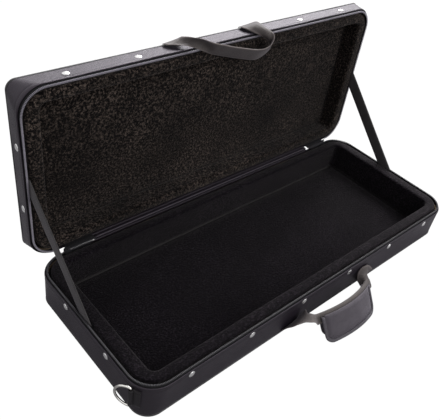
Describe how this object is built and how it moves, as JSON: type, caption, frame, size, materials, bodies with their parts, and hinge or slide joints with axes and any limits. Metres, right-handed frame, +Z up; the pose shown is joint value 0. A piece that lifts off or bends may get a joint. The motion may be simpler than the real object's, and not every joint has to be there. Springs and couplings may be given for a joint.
{
  "type": "soft pedal case",
  "caption": "Long soft case with a foam-lined base tray, a hinged lid held open by webbing stays, a zip, webbing carry handles and D-rings.",
  "frame": {"origin": "centre of the base tray's underside, where the case rests on the floor", "axes": "+X along the case, -Y towards the carrying handles, +Y towards the lid's hinge, +Z up"},
  "size_m": [0.8074, 0.4309, 0.3938],
  "materials": {
    "nylon_cover": "satin",
    "fibre_board": "matte",
    "piping": "satin",
    "plush": "matte",
    "zip_tape": "matte",
    "zip_coil": "satin",
    "rivet_metal": "polished",
    "stay_webbing": "matte",
    "handle_webbing": "matte",
    "grip_fabric": "matte",
    "grip_binding": "satin",
    "grip_fastener": "matte",
    "ring_metal": "polished",
    "slider_metal": "satin"
  },
  "bodies": {
    "base": {"base_cover": "nylon_cover", "base_wall_board": "fibre_board", "bottom_cover": "nylon_cover", "bottom_board": "fibre_board", "base_piping": "piping", "base_pad": "plush", "base_foam_frame": "plush", "base_zip_tape": "zip_tape", "base_zip_coil": "zip_coil", "base_rivets": "rivet_metal", "hinge_strip": "nylon_cover", "stay_strap_left": "stay_webbing", "stay_strap_right": "stay_webbing", "d_ring_tab_left": "handle_webbing", "d_ring_tab_right": "handle_webbing"},
    "lid": {"lid_cover": "nylon_cover", "lid_wall_board": "fibre_board", "top_cover": "nylon_cover", "top_board": "fibre_board", "lid_piping": "piping", "lid_pad": "plush", "lid_foam_frame": "plush", "lid_zip_tape": "zip_tape", "lid_zip_coil": "zip_coil", "lid_rivets": "rivet_metal"},
    "lid_handle": {"lid_handle": "handle_webbing"},
    "base_handle": {"base_handle": "handle_webbing", "grip_front_flap": "grip_fabric", "grip_back_flap": "grip_fabric", "grip_binding": "grip_binding", "grip_hook_strip": "grip_fastener", "grip_loop_strip": "grip_fastener"},
    "d_ring_left": {"d_ring_left": "ring_metal"},
    "d_ring_right": {"d_ring_right": "ring_metal"},
    "zip_slider_left": {"zip_slider_left": "slider_metal"},
    "zip_slider_right": {"zip_slider_right": "slider_metal"},
    "zip_pull_left": {"zip_pull_left": "slider_metal"},
    "zip_pull_right": {"zip_pull_right": "slider_metal"}
  },
  "joints": [
    {"name": "lid_hinge", "type": "hinge", "parent": "base", "child": "lid", "pos_m": [0, 0.1536, 0.0705], "axis": [1, 0, 0], "range_deg": [0, 91], "deforming": ["hinge_strip", "stay_strap_left", "stay_strap_right"]},
    {"name": "lid_handle_swing", "type": "hinge", "parent": "lid", "child": "lid_handle", "pos_m": [0, 0.2006, 0.3759], "axis": [1, 0, 0], "range_deg": [-95, 2]},
    {"name": "base_handle_swing", "type": "hinge", "parent": "base", "child": "base_handle", "pos_m": [0, -0.1513, 0.0049], "axis": [1, 0, 0], "range_deg": [0, 80]},
    {"name": "d_ring_left_swing", "type": "hinge", "parent": "base", "child": "d_ring_left", "pos_m": [-0.38984, -0.123, 0.0395], "axis": [0, 0, 1], "range_deg": [-25, 110]},
    {"name": "d_ring_right_swing", "type": "hinge", "parent": "base", "child": "d_ring_right", "pos_m": [0.38984, -0.123, 0.0395], "axis": [0, 0, 1], "range_deg": [-110, 25]},
    {"name": "zip_slider_left_slide", "type": "slide", "parent": "base", "child": "zip_slider_left", "axis": [-1, 0, 0], "range_m": [-0.042, 0]},
    {"name": "zip_slider_right_slide", "type": "slide", "parent": "base", "child": "zip_slider_right", "axis": [1, 0, 0], "range_m": [-0.042, 0]},
    {"name": "zip_pull_left_swing", "type": "hinge", "parent": "zip_slider_left", "child": "zip_pull_left", "pos_m": [-0.33, 0.1558, 0.0716], "axis": [1, 0, 0], "range_deg": [0, 60]},
    {"name": "zip_pull_right_swing", "type": "hinge", "parent": "zip_slider_right", "child": "zip_pull_right", "pos_m": [0.33, 0.1558, 0.0716], "axis": [1, 0, 0], "range_deg": [0, 60]}
  ],
  "couplings": [
    {"joint": "lid_handle_swing", "follows": "lid_hinge", "ratio": -1}
  ]
}
